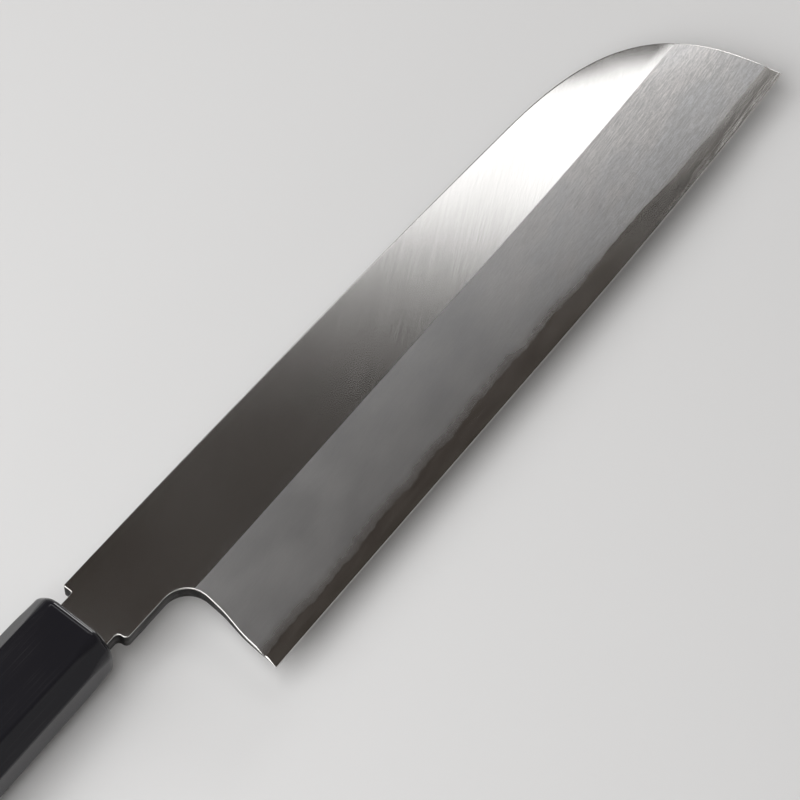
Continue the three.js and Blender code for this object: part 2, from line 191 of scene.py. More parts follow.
tip = (BLADE_LENGTH, edge_y(BLADE_LENGTH))
along = np.linspace(0, 1, 3000)
before_nose, after_nose = [
    (NOSE_X + pull * cos(SPINE_FALL), NOSE_Y - pull * sin(SPINE_FALL))
    for pull in (-SPINE_PULL[1], NOSE_PULL[0])
]
before_tip = (tip[0] - NOSE_PULL[1] * sin(TIP_LEAN), tip[1] + NOSE_PULL[1] * cos(TIP_LEAN))
spine_line = bezier([(0, SPINE_Y), (SPINE_PULL[0], SPINE_Y), before_nose, (NOSE_X, NOSE_Y)], along)
nose_line = bezier([(NOSE_X, NOSE_Y), after_nose, before_tip, tip], along)
top_line = np.vstack([spine_line, nose_line[1:]])
top_slope = np.gradient(top_line[:, 1]) / np.gradient(top_line[:, 0])


def top_y(x):
    """Height of spine or nose at x, read off the two curves."""
    return np.interp(x, top_line[:, 0], top_line[:, 1])


def ridge_y(x):
    """The ridge keeps one distance from the edge."""
    return edge_y(x) + BEVEL_WIDTH


print("heel height, mm:", round(float(top_y(HEEL_X) - HEEL_Y), 2))

# %% [markdown]
# ## The weld line
# Iron and steel are hammered together, then ground through at a slant, so their border shows on the
# bevel as a line that wanders. A single wave looks machine made. The wide, slow wander is a short
# table of widths along the edge, and a small wave and a zigzag of unrelated lengths roughen it. The
# hammer works the heel end more than the tip, so these two die out on the way there.

# %% Width of the steel band
BAND_X, BAND_WIDTH = np.transpose(
    [
        (15.7, 3.3), (25, 3.7), (33, 3.0), (39, 3.5), (45, 3.2), (52, 3.9), (59, 4.2), (64, 3.6),
        (72, 4.5), (79, 3.9), (86, 4.7), (100, 4.7), (107, 4.5), (115, 5.0), (124, 4.4), (137, 5.2),
        (149, 5.1), (158, 4.3), (168, 4.3), (174, 3.9), (182, 4.1), (195, 3.9),
    ]
)
WAVE, ZIGZAG = (0.11, 0.94, 0.4), (0.08, 2.11, 1.9)  # height, radians in a mm, radians at x = 0
EVENED, CALM, CALM_FROM, CALM_TO = 4.0, 0.75, 90, 160


def smooth_step(low, high, x):
    """0 below low, 1 above high, and 3t^2 - 2t^3 between, with t the share of the way."""
    t = np.clip((x - low) / (high - low), 0, 1)
    return t * t * (3 - 2 * t)


def band(x):
    """The table of widths, evened out over 4 mm, plus a wave and a zigzag that fade towards the tip."""
    steps = np.linspace(-EVENED / 2, EVENED / 2, 7)
    slow = sum(np.interp(x + step, BAND_X, BAND_WIDTH) for step in steps) / len(steps)
    wave = WAVE[0] * np.sin(x * WAVE[1] + WAVE[2])
    zigzag = ZIGZAG[0] * np.arcsin(np.sin(x * ZIGZAG[1] + ZIGZAG[2]))
    return slow + (wave + zigzag) * (1 - CALM * smooth_step(CALM_FROM, CALM_TO, x))


def weld_y(x):
    """Where the steel ends on the bevel."""
    return edge_y(x) + band(x)


print("steel band, mm wide:", band(BAND_X).min().round(2), "to", band(BAND_X).max().round(2))

# %% [markdown]
# ## Heights across the blade
# A single-bevel blade is flat on one face, falls from the ridge to the edge in one slightly convex
# bevel, and ends in a hair of steeper bevel, the honed edge. Its back is hollow ground, so that food
# lets go and only a narrow rim touches the stone. Each face is a height over the plan: one function
# of x and y, the same for every grid that uses it, so neighbours always meet.

# %% Face, bevel and rubbed nose
NECK_THICK, TIP_THICK = 4.4, 2.4
MOUTH_X, TANG_ROOT, TANG_END, TANG_THICK = -6.0, -12.0, -98.0, 2.8
HONED, HONED_RISE = 0.18, 0.045
BEVEL_CROWN = 0.14
NOSE_ROLL, NOSE_ROLL_WIDTH = 0.207, 10.4
NOSE_ROLL_START, NOSE_ROLL_FULL = 148, 172
RIDGE_WORN, WORN_UP, WORN_DOWN = 0.06, 2.2, 10.0


def tang_taper(x):
    """Half of what the tang loses in thickness: nothing at its root, all of it at its end."""
    return np.clip((TANG_ROOT - x) / (TANG_ROOT - TANG_END), 0, 1) * (NECK_THICK - TANG_THICK) / 2


def face_z(x):
    """The flat face: one slope from the mouth of the handle to the tip, thickest in the mouth."""
    slope = (TIP_THICK - NECK_THICK) / BLADE_LENGTH
    stations = [TANG_ROOT + 2, MOUTH_X, BLADE_LENGTH]
    return np.interp(x, stations, [NECK_THICK, NECK_THICK + slope * MOUTH_X, TIP_THICK]) - tang_taper(x)


def nose_roll(x, y):
    """How far the nose is rubbed down: a square law of the distance from its rim, gone halfway down
    the bevel, and another of the distance from the ridge, which wears round on its way to the rim."""
    rim = (top_y(x) - y) / np.sqrt(1 + np.interp(x, top_line[:, 0], top_slope) ** 2)
    near, above = np.clip(1 - rim / NOSE_ROLL_WIDTH, 0, 1), y - ridge_y(x)
    rubbed = NOSE_ROLL * near**2 * smooth_step(-WORN_DOWN, 0, above)
    worn = RIDGE_WORN * near * np.clip(1 - np.maximum(above / WORN_UP, -above / WORN_DOWN), 0, 1) ** 2
    return (rubbed + worn) * smooth_step(NOSE_ROLL_START, NOSE_ROLL_FULL, x)


def front_z(x, y):
    """The lower one of flat face and bevel, less the rubbed nose. The bevel is a straight slope with a
    crown of 4 c s (1 - s), s being the share of the way up, and its last hair is the honed edge."""
    from_edge = y - edge_y(x)
    share = (from_edge - HONED) / (BEVEL_WIDTH - HONED)
    bevel = HONED_RISE + (face_z(x) - HONED_RISE) * share + 4 * BEVEL_CROWN * share * (1 - share)
    honed = HONED_RISE * from_edge / HONED
    return np.minimum(face_z(x), np.where(from_edge < HONED, honed, bevel)) - nose_roll(x, y)


print("thickness at the ridge, mm:", front_z(30.0, ridge_y(30.0)).round(2))

# %% Weld and hollow back
STEEL_START, STEEL_SPINE = 4.0, 1.35
WELD_GAP, WELD_TOP = 0.02, SPINE_Y + 4
EDGE_LAND, SPINE_LAND, WHEEL_RADIUS = 1.3, 2.2, 450.0
HOLLOW_START, HOLLOW_RUN, HOLLOW_LEAST = 3.0, 24.0, 0.5


def weld_z(x, y):
    """From the weld line on the bevel, straight up the blade to the weld's height at the spine."""
    start = weld_y(x)
    low = front_z(x, start)
    high = STEEL_SPINE * face_z(x) / NECK_THICK
    return low + (high - low) * (y - start) / (WELD_TOP - start)


def iron_under_z(x, y):
    """Underside of the iron: the weld, and a hair of gap that starts at the weld line."""
    return weld_z(x, y) + WELD_GAP * smooth_step(0, 1, y - weld_y(x))


def hollow_share(x, y):
    """Share 1 - (across / half width)^2 of the hollow: 1 in its middle, 0 on its border. And the half
    width, which grows from the shoulder as the root of the distance."""
    low, high = edge_y(x) + EDGE_LAND, top_y(x) - SPINE_LAND
    runout = np.sqrt(np.clip((x - HOLLOW_START) / HOLLOW_RUN, 0, 1))
    half = np.maximum((high - low) / 2 * runout, HOLLOW_LEAST)
    return 1 - ((y - (low + high) / 2) / half) ** 2, half


def back_z(x, y):
    """The back: flat, with a hollow ground by a large wheel of radius R, depth = half^2 share / 2R."""
    share, half = hollow_share(x, y)
    return np.clip(share, 0, None) * half**2 / (2 * WHEEL_RADIUS) + tang_taper(x)


print("hollow in the middle of the blade, mm deep:", back_z(100.0, -14.0).round(2))

# %% [markdown]
# ## The outline as one path
# The walls of the blade follow its outline: up the heel wall, round the choil, along the root to the
# lower shoulder, round the tang, over the spine and down the nose. Below its middle the heel wall
# stands back by a sweep that grinding by hand leaves. A modifier could bevel the rim, but it would
# round the cutting edge too. So the outline is one path of points with outward normals, and the eased
# rim is a profile carried along it. Its radius is largest near the heel, which is handled most, and
# fades where the rim has to be crisp: at heel and tip corner, both ends of the weld and in the handle.

# %% Points along the outline
RIDGE_COLUMNS = 420
BEVEL_ROWS, FACE_ROWS, BAND_ROWS = 16, 22, 8
NOSE_COLUMNS, TIP_COLUMNS = 60, 16
CHOIL_RADIUS, ROOT_Y, NECK_HALF = 6.2, -9.0, 6.6
HEEL_LEAN, HEEL_SWEEP, SWEEP_FROM, SWEEP_TO = radians(4), 0.75, 8, 17
choil_y = ROOT_Y - CHOIL_RADIUS
choil_x = HEEL_X + tan(HEEL_LEAN) * (choil_y - HEEL_Y) - CHOIL_RADIUS / cos(HEEL_LEAN)
choil = np.array([choil_x, choil_y])


def arc(centre, radius, start, end, count):
    """Points on a circle from one angle to another, in degrees."""
    a = np.radians(np.linspace(start, end, count))
    return np.asarray(centre) + radius * np.column_stack([np.cos(a), np.sin(a)])


def line(a, b, count):
    """Points on a straight line, both ends included."""
    return np.linspace(a, b, count)


def chain(*parts):
    """Parts of a path end to end, each without the point that it shares with the one before."""
    return np.vstack([parts[0], *[p[1:] for p in parts[1:]]])


def lengths(path):
    """Distance from the start of a path to each of its points."""
    return np.concatenate([[0], np.cumsum(np.linalg.norm(np.diff(path, axis=0), axis=1))])


def at_lengths(path, where):
    """Points of a path at given distances from its start."""
    s = lengths(path)
    return np.column_stack([np.interp(where, s, path[:, 0]), np.interp(where, s, path[:, 1])])


def crossing(path, height):
    """Distance along a path to where it crosses a line y = height(x), between the two nearest points."""
    over = path[:, 1] - height(path[:, 0])
    i = int(np.flatnonzero(np.diff(np.sign(over)))[0])
    s = lengths(path)
    return s[i] + (s[i + 1] - s[i]) * over[i] / (over[i] - over[i + 1])


heel_end = choil + CHOIL_RADIUS * np.array([cos(HEEL_LEAN), -sin(HEEL_LEAN)])
heel_line = line((HEEL_X, HEEL_Y), heel_end, 1500)
heel_line[:, 0] -= HEEL_SWEEP * (1 - smooth_step(SWEEP_FROM, SWEEP_TO, heel_line[:, 1] - HEEL_Y))
heel_wall = chain(heel_line, arc(choil, CHOIL_RADIUS, -4, 90, 1500))
weld_start, ridge_start = crossing(heel_wall, weld_y), crossing(heel_wall, ridge_y)
ridge_end, weld_end = crossing(nose_line, ridge_y), crossing(nose_line, weld_y)
nose_length = lengths(nose_line)[-1]
ridge_ends = at_lengths(heel_wall, ridge_start), at_lengths(nose_line, ridge_end)
print("ridge from", ridge_ends[0].round(2), "to", ridge_ends[1].round(2))

# %% [markdown]
# Rows and columns come next. A face that is smooth-shaded bends light in its last row of cells, next
# to a corner. A hair-thin row beside each corner keeps that bend off the flat. The same trick keeps
# the ridge crisp without a hard shading edge.

# %% Rows across the blade and columns along it
HAIR, HAIR_MOST, TINY = 0.12, 0.3, 1e-9
HONED_ROWS = (0, 0.3, 0.8, 1.2)


def hair_share(height, count):
    """A hair as a share of each column's height, and never more than a part of an even row."""
    return np.minimum(HAIR / np.maximum(height, TINY), HAIR_MOST / count)[None]


def rows_between(height, count):
    """Even shares from 0 to 1 for each column, with a hair-thin row at either end."""
    even = np.linspace(0, 1, count + 1)[:, None] + 0 * height
    hair = hair_share(height, count)
    return np.vstack([even[:1], hair, even[1:-1], 1 - hair, even[-1:]])


def band_rows_for(height):
    """As rows_between, for the steel band, with rows beside the upper line of the honed edge."""
    hairs = HONED * np.array(HONED_ROWS)[:, None] / np.maximum(height, TINY)
    even = np.linspace(0, 1, BAND_ROWS + 1)[1:, None] + 0 * height
    near = np.minimum(hairs, np.linspace(0, 0.95 / BAND_ROWS, len(hairs))[:, None])
    return np.vstack([near, even[:-1], 1 - hair_share(height, BAND_ROWS), even[-1:]])


heel_low = at_lengths(heel_wall, weld_start * band_rows_for(np.array([weld_start]))[:, 0])
bevel_shares = rows_between(np.array([ridge_start - weld_start]), BEVEL_ROWS)[:, 0]
heel_high = at_lengths(heel_wall, weld_start + (ridge_start - weld_start) * bevel_shares)
ridge_x = np.linspace(heel_high[-1, 0], at_lengths(nose_line, ridge_end)[0, 0], RIDGE_COLUMNS + 1)
ridge_x = np.sort(np.append(ridge_x, ridge_x[0] + HAIR))
nose_high = at_lengths(nose_line, np.linspace(ridge_end, weld_end, NOSE_COLUMNS + 1))
nose_low = at_lengths(nose_line, np.linspace(weld_end, nose_length, TIP_COLUMNS + 1))
choil_turn = np.degrees(np.arctan2(*(heel_high[-1] - choil)[::-1]))
print("rows of the bevel:", len(heel_high), "and of the band:", len(heel_low))

# %% Root, tang and spine
SHOULDER_TURN, ROOT_TURN, STEP_X = 0.5, 1.15, -1.0
TANG_CHAMFER, TANG_HALF, TANG_ROOT_HALF, NECK_START = 1.4, 2.8, 5.2, -9.4
ROOT_FLAT, SPINE_TURN, NECK_FLAT = 2.4, 0.4, -1.4


def tang_side(side):
    """The tang's outline from its end to the full neck, above (1) or below (-1) the axis."""
    corners = np.array(
        [
            (TANG_END, side * (TANG_HALF - TANG_CHAMFER)),
            (TANG_END + TANG_CHAMFER, side * TANG_HALF),
            (TANG_ROOT, side * TANG_ROOT_HALF),
            (NECK_START, side * NECK_HALF),
        ]
    )
    return chain(*[line(a, b, count) for a, b, count in zip(corners, corners[1:], (3, 17, 5))])


behind_steel = chain(
    tang_side(-1),
    line((NECK_START, -NECK_HALF), (STEP_X - ROOT_TURN, -NECK_HALF), 15),
    np.vstack(
        [
            arc((STEP_X - ROOT_TURN, -NECK_HALF - ROOT_TURN), ROOT_TURN, 90, 0, 10),
            arc((STEP_X + ROOT_TURN, ROOT_Y + ROOT_TURN), ROOT_TURN, 180, 270, 10),
        ]
    ),
    line((STEP_X + ROOT_TURN, ROOT_Y), (ROOT_FLAT, ROOT_Y), 21),
    line((ROOT_FLAT, ROOT_Y), (STEEL_START, ROOT_Y), 9),
)
under_side = chain(
    behind_steel,
    line((STEEL_START, ROOT_Y), (choil[0], ROOT_Y), 13),
    arc(choil, CHOIL_RADIUS, 90, choil_turn, 31),
)
STEEL_COLUMN = len(behind_steel) - 1


def on_top(x):
    """Points of spine or nose above given places along the blade."""
    return np.column_stack([x, top_y(x)])


upper_side = chain(
    tang_side(1),
    line((NECK_START, NECK_HALF), (NECK_FLAT, NECK_HALF), 15),
    line((NECK_FLAT, NECK_HALF), (-SHOULDER_TURN, NECK_HALF), 20),
    arc((-SHOULDER_TURN, NECK_HALF + SHOULDER_TURN), SHOULDER_TURN, -90, 0, 11),
    line((0, NECK_HALF + SHOULDER_TURN), (0, SPINE_Y - SPINE_TURN), 5),
    arc((SPINE_TURN, SPINE_Y - SPINE_TURN), SPINE_TURN, 180, 90, 7),
    on_top(np.linspace(SPINE_TURN, STEEL_START, 9)),
    on_top(np.linspace(STEEL_START, choil[0], 13)),
    on_top(np.linspace(choil[0], ridge_x[0], 31)),
    on_top(ridge_x),
)
print("columns:", len(under_side), "behind the ridge and", len(ridge_x), "along it")
print("steel from column", STEEL_COLUMN)

# %% The path and its normals
def unit(vectors):
    """Vectors divided by their lengths."""
    return vectors / np.linalg.norm(vectors, axis=1)[:, None]


def spans(first, parts):
    """Numbers of the points of each part in a chain: a part starts where the one before it ends."""
    starts = first + np.cumsum([0, *[len(part) - 1 for part in parts[:-1]]])
    return [np.arange(start, start + len(part)) for start, part in zip(starts, parts)]


lower_parts, upper_parts = (heel_low, heel_high, under_side[::-1]), (upper_side, nose_high, nose_low)
outline = np.vstack([chain(*lower_parts), chain(*upper_parts)])
AT_HEEL_LOW, AT_HEEL_HIGH, AT_ROOT = spans(0, lower_parts)
AT_TOP, AT_NOSE_HIGH, AT_NOSE_LOW = spans(AT_ROOT[-1] + 1, upper_parts)
tangent = unit(np.gradient(outline, axis=0))
outward = np.column_stack([-tangent[:, 1], tangent[:, 0]])
path_at = lengths(outline)
print("outline:", len(outline), "points,", path_at[-1].round(1), "mm long")

# %% Eased rims
EASE_FRONT, EASE_BACK = 0.22, 0.15
OF_IRON, OF_EDGE, OF_STEEL, NO_WALL = 0.8, 0.7, 0.3, 1e-3
HIDDEN_X, SEEN_X = -9, -6
FADE_HEEL, FADE_NOSE, FADE_STEP = 0.15, 0.8, 1.5
HEEL_GAIN, GAIN_FULL, GAIN_END = 0.8, 3, 12
x_at, y_at = outline.T
in_sight = smooth_step(HIDDEN_X, SEEN_X, x_at)
off_weld = np.minimum(
    smooth_step(0, FADE_HEEL, np.abs(path_at - path_at[AT_HEEL_HIGH[0]])),
    smooth_step(0, FADE_NOSE, np.abs(path_at - path_at[AT_NOSE_LOW[0]])),
)
seam_z = np.minimum(front_z(x_at, y_at), weld_z(x_at, y_at))
iron_wall = front_z(x_at, y_at) - iron_under_z(x_at, y_at)
front_wall = np.where(iron_wall > NO_WALL, OF_IRON * iron_wall, OF_EDGE * front_z(x_at, y_at))
worn_heel = 1 + HEEL_GAIN * (1 - smooth_step(GAIN_FULL, GAIN_END, path_at))
ease_front = np.minimum(EASE_FRONT * worn_heel * in_sight * off_weld, np.clip(front_wall, 0, None))
off_start = smooth_step(0, FADE_STEP, np.abs(x_at - STEEL_START))
ease_back = np.minimum(EASE_BACK * in_sight * off_start, OF_STEEL * np.clip(seam_z, 0, None))
FRONT_RIM = outline - outward * ease_front[:, None]
BACK_RIM = outline - outward * ease_back[:, None]
print("rims eased by up to, mm:", ease_front.max().round(2), ease_back.max().round(2))

# %% [markdown]
# ## Three grids in plan
# The plan is parted along the ridge and the weld line into three fields: flat face, bevel and steel
# band. Each is ruled: straight lines run from a point on its lower border to one on its upper border.
# Near the heel the lower fields also have a left border, the heel wall, and the lines bend over to it
# within the first columns. The fields are worked out for the eased front rim, the bare outline or the
# eased back rim, so that front, weld and back each get a grid that ends where it should. Weld line and
# edge take their columns from the bare outline every time, so the grids that meet there share points.

# %% Ruled fields and the lines between them
BEND_COLUMNS, RIDGE_EASE = 60, 4


def ruled(low, high, share):
    """Row j, column i: the point at share[j, i] of the way from low[i] to high[i]."""
    return low[None] + (high - low)[None] * share[..., None]


def bent_to(field, border):
    """Moves the first column of a field onto border, and column i by (1 - i / count)^2 of that."""
    fade = np.clip(1 - np.arange(field.shape[1]) / BEND_COLUMNS, 0, 1) ** 2
    return field + (border - field[:, 0])[:, None] * fade[None, :, None]


def heights(low, high):
    """How far the two borders of a field lie apart, in each column."""
    return np.linalg.norm(high - low, axis=1)


def ridge_on(rim):
    """The ridge between its ends on a rim, eased onto them over the last 4 mm."""
    a, b = rim[AT_HEEL_HIGH[-1]], rim[AT_NOSE_HIGH[0]]
    x = a[0] + (ridge_x - ridge_x[0]) * (b[0] - a[0]) / (ridge_x[-1] - ridge_x[0])
    off_a, off_b = a[1] - ridge_y(a[0]), b[1] - ridge_y(b[0])
    ease_a = off_a * (1 - smooth_step(0, RIDGE_EASE, x - x[0]))
    ease_b = off_b * smooth_step(-RIDGE_EASE, 0, x - x[-1])
    return np.column_stack([x, ridge_y(x) + (ease_a + ease_b)])


def weld_on(rim):
    """The weld line between its ends: the outline's columns of ridge and nose, scaled to the rim."""
    (first, _), (last, _) = outline[AT_HEEL_HIGH[0]], outline[AT_NOSE_LOW[0]]
    ridge, nose = ridge_on(outline)[:, 0], outline[AT_NOSE_HIGH][1:, 0]
    along_ridge = first + (ridge - ridge[0]) * (ridge[-1] - first) / (ridge[-1] - ridge[0])
    share = (np.concatenate([along_ridge, nose]) - first) / (last - first)
    a, b = rim[AT_HEEL_HIGH[0]], rim[AT_NOSE_LOW[0]]
    x = a[0] + (b[0] - a[0]) * share
    y = weld_y(x)
    y[0], y[-1] = a[1], b[1]
    return np.column_stack([x, y])


# %% Face, bevel and band in plan
HEEL_RUN = 40


def face_field(rim):
    """The flat face with neck and tang: from the root and the ridge up to the spine."""
    low = chain(rim[AT_ROOT][::-1], ridge_on(rim))
    high = rim[AT_TOP]
    return ruled(low, high, rows_between(heights(low, high), FACE_ROWS))


def bevel_field(rim):
    """The iron of the bevel: from the weld line up to the ridge and the upper nose."""
    low = weld_on(rim)
    high = chain(ridge_on(rim), rim[AT_NOSE_HIGH])
    return bent_to(ruled(low, high, rows_between(heights(low, high), BEVEL_ROWS)), rim[AT_HEEL_HIGH])


def band_field(rim):
    """The steel band: from the edge, whose columns spread out to the heel, up to the weld line."""
    high = chain(weld_on(rim), rim[AT_NOSE_LOW])
    x = chain(weld_on(outline), outline[AT_NOSE_LOW])[:, 0]
    x = x + (outline[0, 0] - x[0]) * (1 - smooth_step(0, HEEL_RUN, x - x[0]))
    low = np.column_stack([x, edge_y(x)])
    low[0], low[-1] = rim[0], rim[-1]
    return bent_to(ruled(low, high, band_rows_for(heights(low, high))), rim[AT_HEEL_LOW])


def at_height(field, height):
    """A field lifted to height(x, y)."""
    return np.dstack([field, height(field[..., 0], field[..., 1])])


for field in (face_field, bevel_field, band_field):
    print(field.__name__, "has rows and columns", field(outline).shape[:2])

# %% [markdown]
# ## Walls with eased rims
# The profile of a wall is a quarter round from the upper face, a straight drop and a quarter round to
# the lower face. Carried along the outline it is a grid like any other: rows down the wall, columns
# along the path. A round of radius 0 folds its rows onto one line, and merging removes them.

# %% Wall: a profile carried along the outline
ROUND_ROWS = 4


def wall(part, upper, upper_ease, lower, lower_ease, between):
    """Inset r(1 - sin a) and drop r(1 - cos a) for the upper round, mirrored for the lower one."""
    a = np.linspace(0, pi / 2, ROUND_ROWS + 1)[:, None]
    base, out = outline[part], outward[part]
    r, q = upper_ease[part][None], lower_ease[part][None]
    top = upper(*(base - out * r.T).T)[None]
    bottom = lower(*(base - out * q.T).T)[None]
    middle = np.clip(between(*base.T)[None], bottom + q, np.maximum(top - r, bottom + q))
    inset = np.vstack([r * (1 - np.sin(a)), 0 * r, q * (1 - np.cos(a))])
    z = np.vstack([top - r * (1 - np.cos(a)), middle, bottom + q * (1 - np.sin(a))])
    plan = base[None] - out[None] * inset[..., None]
    return np.dstack([plan, z])


NO_EASE = np.zeros(len(outline))


def wall_sheets(*profile, drop=WALL):
    """A wall as three sheets: its upper round, its straight drop and its lower round."""
    grid = wall(*profile)
    low = ROUND_ROWS + 2
    return [(grid[: ROUND_ROWS + 1], RIM), (grid[ROUND_ROWS : low + 1], drop), (grid[low:], RIM)]


# %% [markdown]
# ## Finishes: arithmetic with nodes
# Every finish below is a Principled shader whose colour, roughness and bump come from noise. Wired
# node by node, a finish is hard to read. So an output of a node is kept as a Value here, which can be
# added, multiplied, mapped to another range or used to mix two colours, and each of these puts one
# more node into the tree. Noise that is stretched along one direction reads as grinding or grain, so
# marks() turns the object's coordinates to a direction and scales them. Lengths are given in
# millimetres, the size at which the mark is seen on the real knife.

# %% A value of a node tree
def put(tree, kind, inputs=None, **settings):
    """Adds a node. A Value given as an input is linked, and anything else is set on the socket."""
    node = tree.nodes.new(kind)
    for key, value in settings.items():
        setattr(node, key, value)
    for key, value in (inputs or {}).items():
        if isinstance(value, Value):
            tree.links.new(value.socket, node.inputs[key])
        else:
            node.inputs[key].default_value = value
    return node


class Value:
    """A number or colour that varies over a surface: one output of a node."""

    def __init__(self, node, output=0):
        self.socket, self.tree = node.outputs[output], node.id_data

    def __add__(self, other):
        return Value(put(self.tree, "ShaderNodeMath", {0: self, 1: other}, operation="ADD"))

    def __mul__(self, other):
        return Value(put(self.tree, "ShaderNodeMath", {0: self, 1: other}, operation="MULTIPLY"))

    def ramp(self, low, high, to_low=0.0, to_high=1.0, soft=False):
        """Maps low to to_low and high to to_high, straight or as a soft step, and holds the ends."""
        ends = {"From Min": low, "From Max": high, "To Min": to_low, "To Max": to_high}
        way = "SMOOTHSTEP" if soft else "LINEAR"
        inputs = {"Value": self, **ends}
        return Value(put(self.tree, "ShaderNodeMapRange", inputs, interpolation_type=way))

    def share(self, to_low, to_high):
        """Maps a share of 0 to 1."""
        return self.ramp(0.0, 1.0, to_low, to_high)

    def cloudy(self, to_low=0.0, to_high=1.0):
        """Maps noise, which stays mostly between 0.3 and 0.7."""
        return self.ramp(0.3, 0.7, to_low, to_high)

    def tint(self, a, b):
        """A colour between a and b, with this value as the share of b."""
        ends = {key: end if isinstance(end, Value) else (*end, 1) for key, end in ((6, a), (7, b))}
        return Value(put(self.tree, "ShaderNodeMix", {"Factor": self, **ends}, data_type="RGBA"), 2)


# %% A finish and its marks
class Finish:
    """A new material and its Principled shader, whose plain sockets are set by name."""

    def __init__(self, name, **sockets):
        self.material = bpy.data.materials.new(name)
        self.material.use_nodes = True
        self.tree = self.material.node_tree
        self.shader = self.tree.nodes["Principled BSDF"]
        for key, value in sockets.items():
            self.shader.inputs[key.replace("_", " ")].default_value = value

    def place(self):
        """A point of the piece, in metres of the shared frame."""
        return Value(put(self.tree, "ShaderNodeTexCoord"), "Object")

    def along_blade(self):
        """X of a point of the piece, in metres of the shared frame."""
        return Value(put(self.tree, "ShaderNodeSeparateXYZ", {0: self.place()}), "X")

    def measured(self, name):
        """A length that mark() stored on the piece, in mm."""
        return Value(put(self.tree, "ShaderNodeAttribute", attribute_name=name), "Fac")

    def marks(self, long_mm, wide_mm, turn=0.0, detail=2.0, roughness=0.5, shift=0.0):
        """Noise whose spots are long_mm by wide_mm, lying turn degrees from the blade's length."""
        across = 1 / (wide_mm * MM)
        turned = put(
            self.tree,
            "ShaderNodeMapping",
            {"Vector": self.place(), "Rotation": (0, 0, radians(-turn)), "Location": (shift, shift, 0)},
            vector_type="POINT",
        )
        sized = put(
            self.tree,
            "ShaderNodeVectorMath",
            {0: Value(turned), 1: (1 / (long_mm * MM), across, across)},
            operation="MULTIPLY",
        )
        noise = put(
            self.tree,
            "ShaderNodeTexNoise",
            {"Vector": Value(sized), "Scale": 1.0, "Detail": detail, "Roughness": roughness},
        )
        return Value(noise, "Fac")

    def made(self, colour, rough, height=None, depth_mm=0.0):
        """Links colour, roughness and a bump of a real depth, and gives the material."""
        inputs = {"Base Color": colour, "Roughness": rough}
        if height is not None:
            bump = {"Height": height, "Strength": 1.0, "Distance": depth_mm * MM}
            inputs["Normal"] = Value(put(self.tree, "ShaderNodeBump", bump))
        for key, value in inputs.items():
            self.tree.links.new(value.socket, self.shader.inputs[key])
        print(f"{self.material.name}: {len(self.tree.nodes)} nodes")
        return self.material


# %% [markdown]
# ## The brushed flat face
# The flat face is drawn over a belt, which leaves fine straight scratches across it at a slant. Such a
# face mirrors sharply along the scratches and spreads light across them. Anisotropy on the shader
# gives that spread, and needs a direction, which the piece's own UV map supplies. A last, lighter pass
# lies at a smaller slant. Its lines are the ones that the eye can follow, and they are thin noise in
# colour, roughness and bump, with a few deeper ones that stray from the rest. Towards the neck, which
# the belt doesn't reach, the face is rubbed by hand and smoother.

# %% Finish: brushed iron
SCRATCH_TURN, BRUSH_TURN = 38.0, 27.0


def brushed_iron():
    """Scratches and stray ones as colour and bump, clouds as roughness, the UV map as direction."""
    metal = Finish("brushed_iron", Metallic=1.0, Anisotropic=0.92)
    fine = metal.marks(13.0, 0.17, BRUSH_TURN, 1.0)
    stray = metal.marks(20.0, 0.17, BRUSH_TURN - 8, 1.0, shift=0.07)
    cloud = metal.marks(30.0, 18.0, shift=0.11)
    grain = fine + stray.ramp(0.62, 0.8, 0.0, 0.4)
    colour = grain.ramp(0.25, 0.8).tint((0.438, 0.433, 0.427), (0.505, 0.499, 0.492))
    smoother = metal.along_blade().ramp(-0.034, 0.004, -0.083, 0.0, soft=True)
    rough = cloud.cloudy(0.209, 0.225) + fine.cloudy(-0.006, 0.008) + smoother
    across = put(metal.tree, "ShaderNodeTangent", direction_type="UV_MAP", uv_map="brushed")
    metal.tree.links.new(across.outputs[0], metal.shader.inputs["Tangent"])
    return metal.made(colour, rough, grain, 0.0003)


# %% [markdown]
# ## The hazed bevel
# The iron of the bevel is finished on soft stones, which leave a pale, even haze. The haze scatters
# light evenly, so it is plain roughness with slow clouds in it. Towards the tip the stone's own strokes
# show, at a small angle to the edge, and the colour goes from cool above the weld to warm below the
# ridge, and is painted paler there as well, a painted highlight. Just above the weld line the haze is
# thinner, so the border is a clear step with a soft side.
# Near the heel a bright thread of torn iron runs along it here and there.

# %% Finish: stone-hazed iron
STROKE_TURN = 6.0
STEEL_TONE, STEEL_ROUGH = (0.52, 0.503, 0.48), 0.203


